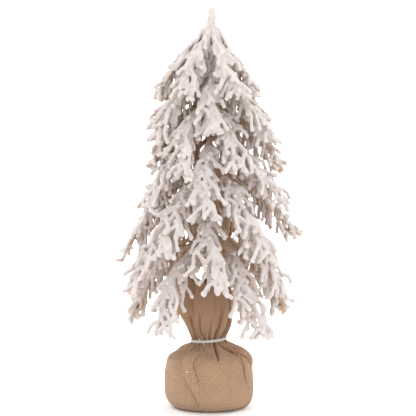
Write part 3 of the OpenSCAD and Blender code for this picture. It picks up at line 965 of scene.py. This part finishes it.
    # the last column's far corners wrap round to the first
    wrap = (np.repeat(face_col, 4) == cols - 1) & (loops % cols == 0)
    corner = corner.copy()
    corner[wrap, 0] = 2 * math.pi * 50.0
    fronts = (seg_of_loop == FRONT_SEG)
    x0 = 200.0
    xx, yy = corner[:, 0] - x0, corner[:, 1]
    s45 = math.sqrt(0.5)
    u = np.where(fronts, (xx - yy) * s45, xx)
    w = np.where(fronts, (xx + yy) * s45, yy)
    give_attribute(me, "cloth", np.stack((u, w, np.zeros_like(u)), 1) * MM, "CORNER", "FLOAT_VECTOR")
    # painted shade: darker down in the gathers, in the creases, under the laps and on the ruff
    edges_dark = np.zeros_like(r)
    for f0, f1, wmax, up_ in folds:
        tt_ = smoothstep(z, 4.0, 60.0)
        e_ = np.radians(f0 + (f1 - f0) * tt_)
        d_ = np.angle(np.exp(1j * (th - e_))) * r * (1 if up_ > 0 else -1)
        # painted shade on the lower layer just beside each lap's edge
        low_side = np.exp(-(np.maximum(d_, 0) / 1.7) ** 2) * (d_ > -0.6) * (lay < 1.2)
        edges_dark = np.maximum(edges_dark, low_side * grow[row] * fade[row])
    # painted shade in the gathers, creases and beside lap edges, plus a darker ruff that gets darkest towards its top
    # edge
    dark = np.clip(np.maximum.reduce(((1 - groove) * near * 0.8, groove_dark * 0.8, edges_dark * 0.85)) + above * (0.16 + 0.15 * smoothstep(z, 120, 150)), 0, 0.95)
    give_attribute(me, "shade", dark)
    me.materials.append(mat)
    ob = bpy.data.objects.new("burlap_cloth", me)
    bpy.context.scene.collection.objects.link(ob)
    th_mod = ob.modifiers.new("thickness", "SOLIDIFY")
    th_mod.thickness = 0.9 * MM
    th_mod.offset = -1.0
    return ob


FRONT_SEG = 9


def unused(ob):
    me = ob.data
    bpy.data.objects.remove(ob)
    bpy.data.meshes.remove(me)


def as_piece(ob, body, slot_name, mat, *nodes):
    ob.data.materials.clear()
    ob.data.materials.append(mat)
    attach(ob, body)
    if nodes:
        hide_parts(*nodes)
    return ob


# ---------------------------------------------------------------------------
# The flocked leader and the shoots that cover the top of the trunk
# ---------------------------------------------------------------------------
def make_leader(mat, voxel):
    verts, faces = [], []
    rs = random.Random(7)

    def lean(z):
        t = smoothstep(np.array([float(z)]), 425, 452)[0]
        return np.array((0.9 + 3.0 * t, 0.0))

    core = []
    for z, r in ((418, 6.0), (425, 6.8), (431, 6.9), (436, 5.9), (440, 5.3), (445, 5.1), (449, 4.9), (452.5, 4.3), (454.6, 3.0)):
        c = lean(z)
        core.append((c[0], c[1], z, r))
    tube(verts, faces, wander(spline(core, 2.0), 3.3, 0.5), 14)
    # moulded needle ends that lie close round it, pointing up and out
    for ring, (z0, n, rr, reach, up) in enumerate(((431, 6, 5.2, 1.6, 5.5), (436, 6, 4.6, 1.4, 6.0), (441, 5, 3.8, 1.4, 6.0), (445.5, 4, 3.0, 1.1, 5.0))):
        for i in range(n):
            a = 2 * math.pi * (i + 0.37 * ring + rs.uniform(-0.18, 0.18)) / n
            c0, c1 = lean(z0), lean(z0 + up)
            r1 = rr + reach * rs.uniform(0.2, 1.0)
            p0 = (c0[0] + math.cos(a) * rr * 0.5, c0[1] + math.sin(a) * rr * 0.5, z0 - 1)
            p1 = (c0[0] + math.cos(a) * (rr * 0.5 + r1) / 2, c0[1] + math.sin(a) * (rr * 0.5 + r1) / 2, z0 + up * 0.35)
            p2 = (c1[0] + math.cos(a) * r1, c1[1] + math.sin(a) * r1, z0 + up * rs.uniform(0.75, 1.1))
            tube(verts, faces, wander(spline([(*p0, 1.7), (*p1, 1.6), (*p2, 1.35)], 1.5), i * 1.7 + ring, 0.4), 8)
    # short shoots that hang from under the leader, close to the trunk, between the top sprays
    skirt = []
    for i in range(12):
        skirt.append((30 * i + rs.uniform(-7, 7), rs.uniform(429, 438), rs.uniform(40, 56), rs.uniform(8, 15)))
    for i in range(12):
        skirt.append((30 * i + 15 + rs.uniform(-6, 6), rs.uniform(402, 418), rs.uniform(34, 46), rs.uniform(9, 14)))
    for i in range(10):
        skirt.append((36 * i + rs.uniform(-8, 8), rs.uniform(384, 398), rs.uniform(30, 40), rs.uniform(9, 15)))
    skirt += [(352, 434, 26, 19), (12, 431, 30, 18), (332, 428, 34, 18), (205, 434, 30, 17), (182, 430, 33, 17)]
    for az_, z0, fall, reach in skirt:
        e = np.array((cosd(az_), sind(az_)))
        f_ = np.array((-sind(az_), cosd(az_)))
        sw = rs.uniform(-5, 5)
        c = lean(z0)
        pts = []
        for f in (0.0, 0.2, 0.5, 0.78, 1.0):
            rr = 4.4 + reach * (f ** 0.75)
            q = c * (1 - f) + e * rr + f_ * sw * f
            pts.append((q[0], q[1], z0 + 2.0 * math.sin(math.pi * min(1.0, f * 2.2)) - fall * f ** 1.15, 2.5 - 0.35 * f + (0.45 if f == 1.0 else 0)))
        tube(verts, faces, wander(spline(pts, 2.0), az_ * 0.1 + z0, 0.9), 8)
        for s_ in (0.35, 0.6, 0.8):
            if rs.random() < 0.8:
                m_ = pts[1 + int(s_ * 3.99 / 1.34)]
                p0 = np.array(m_[:3])
                d = e * rs.uniform(2, 5) + f_ * rs.choice((-1, 1)) * rs.uniform(3, 7)
                tip = p0 + np.array((d[0], d[1], -rs.uniform(6, 13)))
                tube(verts, faces, wander(spline([(*p0, 1.9), (*(0.5 * p0 + 0.5 * tip + np.array((d[0], d[1], 0)) * 0.2), 1.75), (*tip, 2.1)], 2.0), az_ + s_, 0.6), 8)
    me = remeshed(verts, faces, voxel * 0.8, "leader")
    relax(me, 2)
    co, no = coords(me) / MM, normals(me)
    co = co + no * (lumpy(co, no, 5) * 0.8)[:, None]
    set_coords(me, co * MM)
    me.polygons.foreach_set("use_smooth", [True] * len(me.polygons))
    no = normals(me)
    # flock cover with painted shade: whiter on faces turned up, tanner on faces turned down and close to the core,
    # partly unflocked twig and partly painted shade
    r = np.hypot(co[:, 0] - 1.5, co[:, 1])
    give_attribute(me, "flock", np.clip(0.55 + 0.35 * no[:, 2] + 0.4 * smoothstep(r, 3, 8), 0, 1))
    ob = bpy.data.objects.new("leader_tip_flocked", me)
    bpy.context.scene.collection.objects.link(ob)
    return as_piece(ob, "trunk_and_base", "flock", mat, "leader_tip")


# ---------------------------------------------------------------------------
# The cord round the neck
# ---------------------------------------------------------------------------
def make_tie(mat):
    verts, faces, tw = [], [], []

    def add(path, sides, length_scale=1.0, closed=False):
        n0 = len(verts)
        if closed:
            n = len(path)
            for i in range(n):
                p = np.array(path[i][:3])
                q = np.array(path[(i + 1) % n][:3])
                o = np.array(path[i - 1][:3])
                t = (q - o) / np.linalg.norm(q - o)
                u = np.cross(t, (0, 0, 1.0))
                u /= np.linalg.norm(u)
                w = np.cross(t, u)
                for s in range(sides):
                    a = 2 * math.pi * s / sides
                    verts.append(p + (u * math.cos(a) + w * math.sin(a)) * path[i][3])
                    tw.append((i * 0.5 * MM, s / sides, 0))
            for i in range(n):
                a, b = n0 + i * sides, n0 + ((i + 1) % n) * sides
                for s in range(sides):
                    e = (s + 1) % sides
                    faces.append((a + s, a + e, b + e, b + s))
        else:
            tube(verts, faces, path, sides)
            for i in range(len(verts) - n0):
                tw.append(((i // sides) * 0.5 * MM, (i % sides) / sides, 0))

    for zc, rr, tilt in ((77.2, 20.45, -1.6), (78.7, 20.45, -1.6)):
        n = 256
        ring = []
        for i in range(n):
            a = 2 * math.pi * i / n
            ring.append((rr * math.cos(a) + 0.15 * math.sin(5 * a), rr * math.sin(a) + 0.15 * math.cos(4 * a), zc - tilt * math.cos(a) + 0.12 * math.sin(3 * a + zc), 0.78))
        add(ring, 10, closed=True)
    ring_ob = new_object("tie_cord_twisted", [v * MM for v in verts], faces)
    give_attribute(ring_ob.data, "twist", np.array(tw), "POINT", "FLOAT_VECTOR")
    as_piece(ring_ob, "trunk_and_base", "tie_cord", mat, "tie_cord")

    verts.clear()
    faces.clear()
    tw.clear()
    a = math.radians(250)
    c = np.array((22.6 * math.cos(a), 22.6 * math.sin(a), 77.5))
    e_r = np.array((math.cos(a), math.sin(a), 0.0))
    e_t = np.array((-math.sin(a), math.cos(a), 0.0))
    e_z = np.array((0, 0, 1.0))
    # an overhand knot: a small three-lobed loop of the same cord
    loop = []
    n = 44
    for i in range(n):
        t = 2 * math.pi * i / n
        q = c + e_t * (1.05 * math.sin(t) + 0.9 * math.sin(2 * t)) * 0.62 + e_z * (1.05 * math.cos(t) - 0.9 * math.cos(2 * t)) * 0.62 + e_r * (0.55 * math.sin(3 * t) - 0.3)
        loop.append((*q, 0.8))
    add(loop, 8, closed=True)
    verts_core = [(*(c - e_t * 0.9), 1.0), (*(c - e_t * 0.3), 1.35), (*(c + e_t * 0.5), 1.3), (*(c + e_t * 1.1), 0.95)]
    add(spline(verts_core, 0.5), 10)
    for sx, rise, out_ in ((-1, 3.6, 0.9), (1, -3.8, 0.8)):
        pts = [c + e_t * 0.2 * sx, c + e_t * 1.6 * sx + e_z * rise * 0.22 + e_r * 0.3, c + e_t * 2.9 * sx + e_z * rise * 0.62 + e_r * 0.5 * out_, c + e_t * 3.3 * sx + e_z * rise + e_r * 0.8 * out_]
        add(spline([(*p, 0.42) for p in pts], 0.6), 8)
    knot = new_object("tie_knot_tied", [v * MM for v in verts], faces)
    give_attribute(knot.data, "twist", np.array(tw), "POINT", "FLOAT_VECTOR")
    as_piece(knot, "trunk_and_base", "tie_cord", mat, "tie_knot")


# ---------------------------------------------------------------------------
# Build
# ---------------------------------------------------------------------------
VOX = 0.85
flock = flock_material()
burlap = burlap_material()
cord_mat = nylon_material()
paper = paper_material("trunk_paper", lin(146, 108, 76), lin(186, 148, 110), 55.0)
tape = paper_material("floral_tape", lin(128, 92, 62), lin(168, 130, 94), 160.0)
cement = cement_material()
pot = plastic_material()
rod = metal_material("rod_steel", lin(150, 150, 152), lin(196, 197, 200), 8.0)
wire_mat = metal_material("wire_steel", lin(132, 134, 138), lin(178, 180, 186), 6.0)

for k in range(7):
    for j in range(6):
        make_spray(k, j, flock, VOX)
make_leader(flock, VOX)
make_tie(cord_mat)

cloth = build_burlap(burlap)
cloth.name = "burlap_cloth"
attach(cloth, "trunk_and_base")
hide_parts("burlap_wrap")

for n, ob in CAD.items():
    m = None
    if n.startswith("tape_band"):
        m = tape
    elif n == "trunk_paper_wrap":
        m = paper
    elif n == "cement_fill":
        m = cement
    elif n == "plastic_pot":
        m = pot
    elif n == "trunk_rod":
        m = rod
    elif n == "leader_wire":
        m = wire_mat
    if m is not None:
        ob.data.materials.clear()
        ob.data.materials.append(m)

# ---------------------------------------------------------------------------
# Floor, light and camera
# ---------------------------------------------------------------------------
def plain_material(name, color, rough):
    m = Nodes(name)
    p = m.obj()
    g = m.noise(p, 3.0, 2.0)
    col = m.mix(m.spread(g, 0.2, 0.8, 0.0, 1.0), color, tuple(c * 0.985 for c in color[:3]) + (1,))
    return m.finish(col, rough, Specular_IOR_Level=0.1)


def make_floor():
    rows_ = [(-3.0, 0.0)]
    rows_ += [(1.6 + 1.2 * sind(a), 1.2 - 1.2 * cosd(a)) for a in range(0, 91, 6)]
    rows_ += [(2.8, 4.0)]
    verts, faces = [], []
    for y, z in rows_:
        verts += [(-4.0, y, z), (4.0, y, z)]
    for i in range(len(rows_) - 1):
        a = 2 * i
        faces.append((a, a + 1, a + 3, a + 2))
    ob = new_object("floor", verts, faces)
    ob.data.materials.append(plain_material("floor_paper", (0.93, 0.93, 0.93, 1.0), 0.9))
    return ob


make_floor()
scene = bpy.context.scene
world = bpy.data.worlds.new("room")
scene.world = world
world.use_nodes = True
bg = world.node_tree.nodes["Background"]
bg.inputs["Color"].default_value = (1.0, 1.0, 1.0, 1.0)
bg.inputs["Strength"].default_value = 1.2


def area(name, place, target, size, power, color=(1, 1, 1)):
    data = bpy.data.lights.new(name, "AREA")
    data.shape = "RECTANGLE"
    data.size, data.size_y = size
    data.energy = power
    data.color = color
    ob = bpy.data.objects.new(name, data)
    ob.location = place
    ob.rotation_mode = "QUATERNION"
    ob.rotation_quaternion = (Vector(target) - Vector(place)).to_track_quat("-Z", "Y")
    scene.collection.objects.link(ob)
    return ob


area("key", (-0.8, -1.6, 1.0), (0, 0, 0.24), (1.0, 1.0), 3.9)
area("fill", (1.1, -1.5, 0.35), (0, 0, 0.14), (1.0, 1.0), 4.6)
area("top", (0.05, 0.0, 1.7), (0, 0, 0.2), (0.9, 0.9), 3.2)
area("backdrop_left", (-1.6, 1.2, 1.6), (-0.3, 2.7, 0.9), (1.0, 1.0), 60)
area("backdrop_right", (1.6, 1.2, 1.6), (0.3, 2.7, 0.9), (1.0, 1.0), 60)

cam_data = bpy.data.cameras.new("camera")
cam = bpy.data.objects.new("camera", cam_data)
scene.collection.objects.link(cam)
cam_data.lens = 113.3
cam_data.sensor_width = 36
cam_data.clip_start, cam_data.clip_end = 0.05, 20
cam.location = (-0.00103, -1.5, 0.290)
cam.rotation_mode = "QUATERNION"
cam.rotation_quaternion = (Vector((-0.00103, 0.0, 0.2288)) - cam.location).to_track_quat("-Z", "Y")
scene.camera = cam
scene.view_settings.view_transform = "Standard"
scene.view_settings.look = "None"

bpy.context.view_layer.update()
